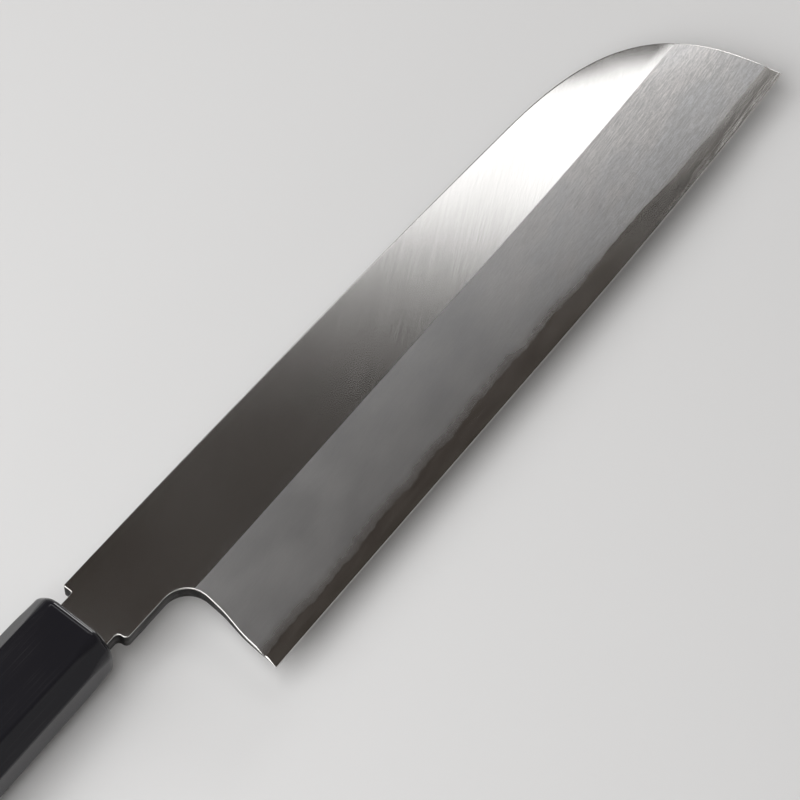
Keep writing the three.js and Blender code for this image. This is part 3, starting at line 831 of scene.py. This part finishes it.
def hazed_iron():
    """A haze that grows with the distance from the weld, from the steel's tone to the iron's."""
    metal = Finish("hazed_iron", Metallic=1.0)
    cloud = metal.marks(13.0, 6.0, 5.0, 3.0, 0.55)
    patch = metal.marks(13.0, 7.0, STROKE_TURN, 3.0, 0.55, 0.19)
    strokes = metal.marks(3.2, 0.14, STROKE_TURN, 2.0, 0.6, 0.05)
    tooth = metal.marks(0.4, 0.17, STROKE_TURN, 1.0, shift=0.31)
    x, above = metal.along_blade(), metal.measured("above_weld")

    near_tip = x.ramp(0.06, 0.145, soft=True)
    marked = strokes.ramp(0.36, 0.64, 0.0, 0.85) + tooth.ramp(0.4, 0.7, 0.0, 0.6)
    drawn = marked * near_tip.share(0.15, 1.0)

    per_mm = x.ramp(0.08, 0.125, 1 / 2.6, 1 / 1.5, soft=True)
    least = x.ramp(0.08, 0.125, 0.42, 0.62, soft=True)
    ragged = above + cloud.cloudy(-0.3, 0.3)
    haze = (least + (ragged * per_mm).share(0.0, 0.58)).share(0.0, 1.0)
    spots = metal.marks(5.0, 3.0, 0.0, 1.0, shift=0.2).ramp(0.6, 0.7, 0.0, 0.8)
    torn = spots * x.ramp(0.01, 0.06, 1.0, 0.0, soft=True)
    thread = above.ramp(0.05, 0.3, 1.0, 0.0) * torn

    even = cloud.cloudy().tint((0.63, 0.645, 0.665), (0.7, 0.71, 0.722))
    warm = above.ramp(2.0, 16.0, -0.35, 0.35) + patch.cloudy()
    # Painted highlight: near the tip the colour is mixed up to three quarters towards these paler warm
    # and cool patches.
    patches_and_highlight = warm.ramp(0.2, 0.8).tint((0.77, 0.777, 0.8), (0.925, 0.885, 0.87))
    body = drawn.tint(near_tip.share(0.0, 0.75).tint(even, patches_and_highlight), (0.5, 0.5, 0.5))
    colour = thread.tint(haze.tint(STEEL_TONE, body), (0.86, 0.85, 0.83))
    rough = haze.share(STEEL_ROUGH, 0.297) + cloud.cloudy(-0.01, 0.01) + near_tip.share(0.0, 0.03)
    return metal.made(colour, rough, drawn, 0.001)


# %% [markdown]
# ## The hard steel band
# The hard steel takes a closer polish on the same stones, so it mirrors its dark surroundings and
# shows as a darker band. Its strokes run along the edge. It is a little warm in colour. The last
# hair of it is honed a little steeper, and its fresh tooth is rougher; its colour is painted near
# white there, a painted highlight along the edge. Near the tip the polish is coarser, and the band's
# colour is painted darker there, a painted shade against the light the rougher steel gathers; its
# strokes are painted paler, most by the edge, a painted highlight, and up by the weld the haze runs
# out over the steel. The back and the rims get their own finishes here as well, and the walls a
# colour painted near black, a painted shade.

# %% Finish: hard steel and polished back
def edge_steel_finish():
    """A dark polish, coarser near the tip with painted shade there, strokes with a painted highlight by
    the edge, and a painted highlight on the honed edge.
    """
    metal = Finish("edge_steel_finish", Metallic=1.0)
    strokes = metal.marks(5.0, 0.24, 5.0, 1.0)
    cloud = metal.marks(9.0, 1.2, 1.5, shift=0.09)
    x, from_edge = metal.along_blade(), metal.measured("above_edge")

    near_tip, coarse_and_painted_shade = x.ramp(0.09, 0.15, soft=True), x.ramp(0.098, 0.124, soft=True)
    low = from_edge.ramp(0.5, 2.4, 1.0, 0.0, soft=True) * near_tip
    high = from_edge.ramp(2.5, 4.3, 0.0, 0.34) * x.ramp(0.12, 0.148, soft=True)
    # Painted highlight: the honed edge's colour is near white. Its higher roughness is the fresh tooth.
    honed = from_edge.ramp(HONED * 0.8, HONED * 1.2, 1.0, 0.0)
    # Painted highlight: near the tip, and most by the edge, the strokes are painted paler.
    painted_glint = low.share(0.0, 0.6) + near_tip.share(0.0, 0.24)

    darker, paler = [tuple(c * share for c in STEEL_TONE) for share in (0.94, 1.06)]
    # Painted shade: near the tip the body's colour is mixed up to a third of the way to black.
    body = coarse_and_painted_shade.share(0.0, 0.34).tint(cloud.cloudy().tint(darker, paler), (0.0, 0.0, 0.0))
    glint_lined = (strokes.ramp(0.42, 0.64) * painted_glint).tint(body, (0.8, 0.785, 0.77))
    colour = honed.tint(high.tint(glint_lined, (0.68, 0.68, 0.685)), (0.93, 0.92, 0.905))
    rough = cloud.cloudy(-0.01, 0.01) + coarse_and_painted_shade.share(STEEL_ROUGH, STEEL_ROUGH + 0.05)
    return metal.made(colour, rough + high.share(0.0, 0.06) + honed.share(0.0, 0.2))


def hollow_back_finish():
    """The hollow keeps the wheel's marks along the blade, and the rim round it is honed bright."""
    metal = Finish("hollow_back_finish", Metallic=1.0)
    wheel = metal.marks(26.0, 0.18, 0.0, 3.0, 0.6)
    cloud = metal.marks(30.0, 8.0, shift=0.13)
    hollow = metal.measured("in_hollow").ramp(-0.01, 0.015)
    ground = wheel.ramp(0.35, 0.65).tint((0.48, 0.47, 0.455), (0.57, 0.56, 0.55))
    rough = hollow.share(0.13, 0.24) + cloud.cloudy(-0.02, 0.03)
    return metal.made(hollow.tint((0.62, 0.61, 0.6), ground), rough, wheel * hollow, 0.0014)


def rim_finish():
    """Spine, choil and shoulders are rubbed along with fine paper and catch the light as thin lines."""
    metal = Finish("rim_finish", Metallic=1.0)
    rubbed = metal.marks(3.0, 0.1, 0.0, 2.0, 0.6)
    cloud = metal.marks(8.0, 4.0, shift=0.17)
    colour = cloud.cloudy().tint((0.5, 0.49, 0.475), (0.58, 0.57, 0.555))
    return metal.made(colour, rubbed.cloudy(0.16, 0.24), rubbed, 0.0008)


def wall_painted_shade():
    """The walls' colour is painted near black, a painted shade, and is a dark grey where rubbed marks
    and clouds fall.
    """
    metal = Finish("wall_painted_shade", Metallic=1.0)
    rubbed = metal.marks(4.0, 0.16, 0.0, 3.0, 0.6)
    cloud = metal.marks(6.0, 2.0, 0.0, 3.0, 0.6, 0.23)
    worn = rubbed.ramp(0.45, 0.75, 0.0, 0.6) + cloud.ramp(0.45, 0.75, 0.0, 0.7)
    # Painted shade: near-black colour on every wall, lighter where the rubbed marks and clouds are.
    colour = worn.tint((0.016, 0.015, 0.0145), (0.075, 0.072, 0.07))
    return metal.made(colour, worn.share(0.52, 0.36), rubbed, 0.0015)


rim_metal, wall_shade_metal = rim_finish(), wall_painted_shade()

# %% [markdown]
# ## The iron body
# The iron is the flat face, the bevel down to the weld line, the neck and the tang. Its closed skin is
# the two front fields, the same fields at the weld's height as the underside, the bare back of neck
# and tang, and the walls. Where the steel begins, four millimetres from the shoulder, a small upright
# sheet closes the step.

# %% A measure for every point
def mark(piece, name, measure):
    """Stores measure(x, y) in mm on every point, for a finish that follows the blade's own lines."""
    mesh = piece.data
    x, y, _ = (read(mesh.vertices, "co", np.float32, 3) / MM - SHOULDER).T
    layer = mesh.attributes.new(name, "FLOAT", "POINT")
    layer.data.foreach_set("value", measure(x, y).astype(np.float32))


# %% Piece: iron body
front_face = at_height(face_field(FRONT_RIM), front_z)
front_bevel = at_height(bevel_field(FRONT_RIM), front_z)
plan_face, plan_bevel = face_field(outline), bevel_field(outline)
back_face = face_field(BACK_RIM)
iron_under = at_height(plan_face, iron_under_z)[:, STEEL_COLUMN:]
tang_back = at_height(back_face, back_z)[:, : STEEL_COLUMN + 1]
steel_step = np.stack([iron_under[:, 0], tang_back[:, -1]])
tang_tip = np.stack([front_face[:, 0], front_face[:, 0], tang_back[:, 0]])
tang_tip[1, :, 2] = np.clip(iron_under_z(*tang_tip[1, :, :2].T), tang_tip[2, :, 2], tang_tip[0, :, 2])

under_tang = AT_ROOT[::-1][: STEEL_COLUMN + 1]
under_root = AT_ROOT[::-1][STEEL_COLUMN:]
top_tang, top_spine = AT_TOP[: STEEL_COLUMN + 1], AT_TOP[STEEL_COLUMN:]
iron_sheets = [
    (front_face, FACE),
    (front_bevel, BEVEL),
    (iron_under, WALL),
    (at_height(plan_bevel, iron_under_z), WALL),
    (tang_back, RIM),
    (steel_step, RIM),
    (tang_tip, RIM),
]
for part in (AT_HEEL_HIGH, under_root, top_spine, AT_NOSE_HIGH):
    iron_sheets += wall_sheets(part, front_z, ease_front, iron_under_z, NO_EASE, iron_under_z)
for part in (under_tang, top_tang):
    iron_sheets += wall_sheets(part, front_z, ease_front, back_z, ease_back, iron_under_z)
iron = skin("iron_body", iron_sheets, [brushed_iron(), hazed_iron(), rim_metal, wall_shade_metal])
mark(iron, "above_weld", lambda x, y: y - weld_y(x))
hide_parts("blade_iron")

# %% A UV map that follows the scratches
UV_PER_METRE = 10


def lay_scratches(piece, turn):
    """u runs across the scratches and v along them: the plan, turned. One unit is 100 mm."""
    mesh = piece.data
    corner = read(mesh.loops, "vertex_index", np.int32)
    x, y = read(mesh.vertices, "co", np.float32, 3)[corner, :2].T * UV_PER_METRE
    a = radians(turn)
    uv = np.column_stack([-sin(a) * x + cos(a) * y, cos(a) * x + sin(a) * y])
    mesh.uv_layers.new(name="brushed").data.foreach_set("uv", uv.astype(np.float32).ravel())


lay_scratches(iron, SCRATCH_TURN)
print("scratches lie", SCRATCH_TURN, "degrees from the blade's length")

# %% [markdown]
# ## The steel back and edge
# The steel is the band on the bevel, the whole hollow-ground back and the lower half of the walls. It
# lies under the iron and fills the blade up to the weld.

# %% Piece: steel back and edge
front_band = at_height(band_field(FRONT_RIM), front_z)
steel_back = at_height(back_face, back_z)[:, STEEL_COLUMN:]
steel_over = at_height(plan_face, weld_z)[:, STEEL_COLUMN:]
steel_end = np.stack([steel_over[:, 0], steel_back[:, 0]])
steel_sheets = [
    (front_band, BAND),
    (steel_over, WALL),
    (at_height(plan_bevel, weld_z), WALL),
    (steel_end, RIM),
    (steel_back, HOLLOW),
    (at_height(bevel_field(BACK_RIM), back_z), HOLLOW),
    (at_height(band_field(BACK_RIM), back_z), HOLLOW),
]
for part in (AT_HEEL_LOW, AT_NOSE_LOW):
    steel_sheets += wall_sheets(part, front_z, ease_front, back_z, ease_back, back_z, drop=RIM)
for part in (AT_HEEL_HIGH, under_root, top_spine, AT_NOSE_HIGH):
    steel_sheets += wall_sheets(part, weld_z, NO_EASE, back_z, ease_back, back_z)
steel_finishes = [edge_steel_finish(), hollow_back_finish(), rim_metal, wall_shade_metal]
steel = skin("steel_back", steel_sheets, steel_finishes)
mark(steel, "above_edge", lambda x, y: y - edge_y(x))
mark(steel, "in_hollow", lambda x, y: hollow_share(x, y)[0])
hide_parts("edge_steel")

# %% [markdown]
# ## Rings round the handle
# Ferrule, handle and resin all go round one axis, so each is a stack of rings: a grid whose rows step
# along the profile and whose columns go once round. The octagon's corners are worn round, each a small
# quadratic curve, with a hair of flat beside it so that the facets stay flat in the light. Slot and
# bore are found by walking out along the same directions, so that columns don't twist from an octagon
# to a slot.

# %% Octagon rings
HANDLE_Y, AXIS_Z = 0.7, 2.2
FERRULE_FRONT, BUTT, BUTT_ROUND, ARRIS = -4.9, -136.95, 1.6, 0.5
OCTAGON = np.array([10.2, 8.5, 6.7, 4.0])  # half height and thickness, half of wide and side facet
OCTAGON_GAIN = np.array([1.8, 1.2, 0.1, 0.6])  # what each of them gains up to the butt


def octagon_ring(x, inset, arris=ARRIS):
    """Corners of the octagon at x, pulled in by inset, each rounded as (1-t)^2 a + 2t(1-t) c + t^2 b."""
    share = np.clip((FERRULE_FRONT - x) / (FERRULE_FRONT - BUTT - BUTT_ROUND), 0, 1)
    pull = inset * tan(pi / 8)
    y, z, wide, side = OCTAGON + OCTAGON_GAIN * share - [inset, inset, pull, pull]
    corner = np.array(
        [[y, -side], [y, side], [wide, z], [-wide, z], [-y, side], [-y, -side], [-wide, -z], [wide, -z]]
    )
    before, ahead = np.roll(corner, 1, 0) - corner, np.roll(corner, -1, 0) - corner
    reach = np.linalg.norm(ahead, axis=1)[:, None]
    before, after = unit(before), unit(ahead)
    a, b = corner + before * arris, corner + after * arris
    t = np.linspace(0, 1, 6)[:, None, None]
    rounds = (1 - t) ** 2 * a + 2 * t * (1 - t) * corner + t**2 * b
    flats = [b + after * HAIR, corner + after * reach / 2, corner + after * (reach - arris - HAIR)]
    ring = np.concatenate([rounds, flats]).transpose(1, 0, 2).reshape(-1, 2)
    return np.column_stack([np.full(len(ring), x), ring + [HANDLE_Y, AXIS_Z]])


def rim_rings(end, radius, direction, arris=ARRIS, count=10):
    """Quarter round from an end face into the sides: inset r(1 - sin a), depth r(1 - cos a)."""
    turn = np.linspace(0, pi / 2, count + 1)
    inset, depth = radius * (1 - np.sin(turn)), radius * (1 - np.cos(turn))
    return [octagon_ring(end + direction * d, i, arris) for i, d in zip(inset, depth)]


# %% Slot and bore rings, and stacks
HALVINGS, FAR_OUT = 50, 30.0


def slot_ring(x, half_y, half_z, corner, toward):
    """Walks out from the axis towards each point of another ring, by halving, to where the distance
    from a rounded box, |max(q, 0)| + min(max(q), 0) - corner, is 0."""
    way = unit(toward[:, 1:] - [0, AXIS_Z])
    near, far = np.zeros(len(way)), np.full(len(way), FAR_OUT)
    for _ in range(HALVINGS):
        middle = (near + far) / 2
        q = np.abs(way * middle[:, None]) - [half_y - corner, half_z - corner]
        out = np.linalg.norm(np.maximum(q, 0), axis=1) + np.minimum(q.max(1), 0) - corner
        near, far = np.where(out < 0, middle, near), np.where(out < 0, far, middle)
    return np.column_stack([np.full(len(way), x), way * near[:, None] + [0, AXIS_Z]])


def bore_ring(x, radius, toward):
    """A round bore, as a slot that is all corners."""
    return slot_ring(x, radius, radius, radius, toward)


def stack(rings, closed=False):
    """Rings as a grid, with the first column again at the end, and the first ring too if it closes."""
    grid = np.stack(rings + rings[:1] if closed else rings)
    return np.concatenate([grid, grid[:, :1]], 1)


def blend_rings(a, b, count):
    """Rings between two others, without the ends."""
    return [a + (b - a) * t for t in np.linspace(0, 1, count + 2)[1:-1]]


# %% [markdown]
# ## The horn ferrule
# The ferrule is buffalo horn: almost black, dense, and polished like glass, with faint paler fibres
# along it. Its front is rounded over by hand, and a slot takes the neck of the blade. The polish is
# low roughness with a hint of waviness, because hand-buffed facets are never optically flat.

# %% Finish: black horn
def black_horn():
    """Paler fibres where they meet a cloud, and slow waves in the bump."""
    horn = Finish("black_horn", IOR=1.54, Specular_IOR_Level=0.28)
    fibres = horn.marks(30.0, 0.5, 0.0, 4.0, 0.65)
    cloud = horn.marks(26.0, 7.0, shift=0.21)
    waves = horn.marks(9.0, 3.0, 0.0, 1.0, 0.4, 0.3)
    pale = fibres.ramp(0.55, 0.8) * cloud.ramp(0.45, 0.7, 0.1, 1.0)
    colour = pale.tint((0.0125, 0.0122, 0.0152), (0.034, 0.032, 0.034))
    return horn.made(colour, cloud.cloudy(0.09, 0.15), waves + fibres, 0.004)


# %% Piece: ferrule
FERRULE_BACK, FERRULE_ROUND, FRONT_ARRIS, ARRIS_RUN = -42.9, 1.9, 1.7, 7.0
BORE_RADIUS, MOUTH_END, MOUTH_EASE, SEAM_EASE = 6.743, -13.9, 0.2, 0.15
MOUTH = np.array([7.3, 2.9, 1.2])  # half height, half width and corner radius of the slot
front_rim = rim_rings(FERRULE_FRONT, FERRULE_ROUND, -1, FRONT_ARRIS)
mouth_lip = slot_ring(FERRULE_FRONT, *(MOUTH + MOUTH_EASE), front_rim[0])
mouth = slot_ring(FERRULE_FRONT - MOUTH_EASE, *MOUTH, front_rim[0])
side_end = FERRULE_FRONT - FERRULE_BACK - FERRULE_ROUND - SEAM_EASE
side_x = np.concatenate([np.linspace(0, ARRIS_RUN, 9)[1:], np.linspace(ARRIS_RUN, side_end, 10)[1:]])
side_arris = FRONT_ARRIS + (ARRIS - FRONT_ARRIS) * smooth_step(0, ARRIS_RUN, side_x)
sides = [octagon_ring(FERRULE_FRONT - FERRULE_ROUND - x, 0, a) for x, a in zip(side_x, side_arris)]
inner = [
    bore_ring(FERRULE_BACK, BORE_RADIUS, front_rim[0]),
    bore_ring(MOUTH_END - 1, BORE_RADIUS, front_rim[0]),
    slot_ring(MOUTH_END, *MOUTH, front_rim[0]),
]
ferrule_rings = [
    mouth,
    mouth_lip,
    *blend_rings(mouth_lip, front_rim[0], 3),
    *front_rim,
    *sides,
    octagon_ring(FERRULE_BACK, SEAM_EASE),
    *inner,
]
ferrule = skin("horn_ferrule", [(stack(ferrule_rings, closed=True), 0)], [black_horn()])
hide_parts("ferrule")

# %% [markdown]
# ## The black wooden handle
# The handle is a dense wood dyed and oiled to black. It widens to the butt so that it can't slip from
# a wet hand. The grain is fine: thin dark pores along the handle and slow bands across it. The finish
# shines, but the pores break the shine up.

# %% Finish: black wood
def black_wood():
    """Bands as colour, and pores as roughness and pits."""
    wood = Finish("black_wood", IOR=1.5, Coat_Weight=0.35, Coat_Roughness=0.12)
    bands = wood.marks(70.0, 2.2, 1.5, 4.0, 0.6)
    pit = wood.marks(5.0, 0.14, 1.0, shift=0.4).ramp(0.6, 0.72)
    colour = bands.ramp(0.35, 0.7).tint((0.0075, 0.0075, 0.008), (0.019, 0.017, 0.016))
    return wood.made(colour, bands.cloudy(0.2, 0.28) + pit.share(0, 0.2), pit.share(1, 0), 0.012)


# %% Piece: handle
BODY_FRONT, BORE_END = -42.95, -105.0
butt_rim = rim_rings(BUTT, BUTT_ROUND, 1)
butt_middle = np.tile(butt_rim[0].mean(0), (len(butt_rim[0]), 1))
body_front = octagon_ring(BODY_FRONT, SEAM_EASE)
bore = [bore_ring(x, BORE_RADIUS, body_front) for x in (BORE_END, BODY_FRONT)]
bore_middle = np.tile([BORE_END, 0, AXIS_Z], (len(body_front), 1))
handle_rings = [
    bore_middle,
    *bore,
    body_front,
    *[octagon_ring(x, 0) for x in np.linspace(BODY_FRONT - SEAM_EASE, BUTT + BUTT_ROUND, 30)[:-1]],
    *butt_rim[::-1],
    *blend_rings(butt_rim[0], butt_middle, 4),
    butt_middle,
]
handle = skin("wood_handle", [(stack(handle_rings), 0)], [black_wood()])
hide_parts("handle_body")

# %% [markdown]
# ## Resin in the mouth
# A dark resin closes the slot round the neck, so that no water reaches the tang. It wets both walls
# and sinks a little between them: a hollow curve from neck to horn.

# %% Finish and piece: resin
RESIN_GAP, RESIN_INSET, RESIN_SINK, RESIN_DEPTH = 0.05, 0.1, 0.25, 3.3
NECK_HOLE = (NECK_HALF + 0.02, 2.28, 0.2)  # half height, half width and corner radius


def mouth_resin_finish():
    """One small cloud gives colour, roughness and bump."""
    resin = Finish("mouth_resin_finish", IOR=1.5)
    cloud = resin.marks(1.2, 0.9, 0.0, 3.0, 0.6)
    colour = cloud.cloudy().tint((0.012, 0.010, 0.009), (0.028, 0.022, 0.017))
    return resin.made(colour, cloud.cloudy(0.25, 0.45), cloud, 0.02)


neck_wall = slot_ring(0, *NECK_HOLE, front_rim[0])
mouth_wall = slot_ring(0, *(MOUTH - RESIN_GAP), front_rim[0])
resin_rings = []
for share in np.linspace(0, 1, 9):
    ring = neck_wall + (mouth_wall - neck_wall) * share
    ring[:, 0] = FERRULE_FRONT - RESIN_INSET - RESIN_SINK * 4 * share * (1 - share)
    resin_rings.append(ring)
deep = [ring + [FERRULE_FRONT - RESIN_DEPTH, 0, 0] for ring in (mouth_wall, neck_wall)]
resin = skin("resin_collar", [(stack(resin_rings + deep, closed=True), 0)], [mouth_resin_finish()])
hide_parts("mouth_resin")

# %% [markdown]
# ## The hidden dowel
# Inside the handle a soft wooden dowel holds the tang. It isn't seen, but it is part of the knife, so
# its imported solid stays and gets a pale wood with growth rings.

# %% Finish: soft wood
def soft_wood():
    """Growth rings as colour, fibres as roughness and bump."""
    wood = Finish("soft_wood", IOR=1.45)
    rings = wood.marks(60.0, 1.1, 2.0, 3.0, 0.55)
    fibre = wood.marks(6.0, 0.2, 0.0, 2.0, 0.6, 0.5)
    colour = rings.ramp(0.35, 0.65).tint((0.62, 0.48, 0.3), (0.48, 0.34, 0.19))
    return wood.made(colour, fibre.cloudy(0.6, 0.85), fibre, 0.03)


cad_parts["tang_dowel"].material_slots[0].material = soft_wood()

# %% [markdown]
# ## Camera
# The knife is seen from above, 63 degrees over the table and from the handle's side, with the tip at
# the upper right. A long lens at 0.9 m gives the slight narrowing towards the tip. The camera looks at
# a point on the blade, and its lens is worked out for an image 800 pixels wide.

# %% Camera
VIEW_TURN, VIEW_RISE, VIEW_FAR = -50.956, 63.0, 0.9
LOOKED_AT_MM = (79.015, -16.514, 0.0)
SENSOR_MM, FOCAL_PIXELS, IMAGE_PIXELS = 36.0, 4238.5, 800
turn, rise = radians(VIEW_TURN), radians(VIEW_RISE)
looked_at = Vector(placed(LOOKED_AT_MM))
towards = Vector((sin(turn) * cos(rise), -cos(turn) * cos(rise), sin(rise)))
lens = bpy.data.cameras.new("camera")
lens.sensor_width = SENSOR_MM
lens.lens = SENSOR_MM * FOCAL_PIXELS / IMAGE_PIXELS
lens.clip_start, lens.clip_end = 0.01, 50
camera = added("camera", lens)
camera.location = looked_at + towards * VIEW_FAR
camera.rotation_euler = (-towards).to_track_quat("-Z", "Y").to_euler()
bpy.context.scene.camera = camera
print("camera at, m:", tuple(round(c, 3) for c in camera.location))

# %% [markdown]
# ## Floor and light
# The floor is a plain pale sheet. Metal shows what it mirrors, so the lamps are placed by what each
# face of the blade sees: a strip softbox behind the knife lies where the front half of the flat face
# mirrors it, and above that strip the room is dim, which leaves the half near the handle dark. Large
# softboxes at the camera's side light floor and handle and aren't mirrored by the blade. A small lamp
# beyond the tip draws the thin bright lines on the rims of nose and ferrule. The room's walls are
# paler than its ceiling, so that the metal looks like metal from low down too.

# %% Floor and softboxes
away = Vector((-towards.x, -towards.y, 0)).normalized()
right = away.cross(Vector((0, 0, 1)))
FLOOR_HALF = 6.0
floor_mesh = bpy.data.meshes.new("floor")
floor_corners = [(FLOOR_HALF * x, FLOOR_HALF * y, 0) for x, y in ((-1, -1), (1, -1), (1, 1), (-1, 1))]
floor_mesh.from_pydata(floor_corners, [], [(0, 1, 2, 3)])
floor = added("floor", floor_mesh)
paper = Finish("pale_paper", Roughness=0.9, Base_Color=(0.74, 0.74, 0.74, 1))
floor_mesh.materials.append(paper.material)


def softbox(name, across, back, up, wide, high, watts, aim):
    """A rectangular lamp at metres right of, behind and above the blade, turned to a point."""
    lamp = bpy.data.lights.new(name, "AREA")
    lamp.shape = "RECTANGLE"
    lamp.size, lamp.size_y, lamp.energy = wide, high, watts
    lit = added(name, lamp)
    lit.location = looked_at + right * across + away * back + Vector((0, 0, up))
    lit.rotation_euler = (lit.location - aim).to_track_quat("Z", "Y").to_euler()
    lit.visible_camera = False
    print(f"{name}: {watts} W")


STRIP_RIGHT, STRIP_AIM = 0.128, 0.311
over_table = looked_at + right * STRIP_RIGHT + away * STRIP_AIM
for lamp in (
    ("strip_behind", STRIP_RIGHT, 0.601, 0.838, 0.756, 0.1276, 0.945, over_table),
    ("soft_left", -0.387, -0.203, 0.616, 0.9, 0.9, 6.535, looked_at),
    ("soft_right", 1.58, -1.4, 0.4, 0.9, 0.9, 2.545, looked_at),
    ("soft_front", 0.0, -0.8, 1.4, 1.6, 1.0, 2.5, looked_at),
    ("rim_light", 0.375, 1.023, 0.298, 0.3, 0.3, 2.5, looked_at),
):
    softbox(*lamp)

# %% The room
WALLS, CEILING, CEILING_RISE = (0.42, 0.415, 0.41), (0.05, 0.04, 0.0325), 0.62
room = bpy.data.worlds.new("room")
room.use_nodes = True
tree = room.node_tree
view = Value(put(tree, "ShaderNodeTexCoord"), "Generated")
upward = Value(put(tree, "ShaderNodeSeparateXYZ", {0: view}), "Z").ramp(0.0, CEILING_RISE, soft=True)
shade = upward.tint(WALLS, CEILING)
tree.links.new(shade.socket, tree.nodes["Background"].inputs["Color"])
bpy.context.scene.world = room
bpy.context.scene.view_settings.view_transform = "Standard"
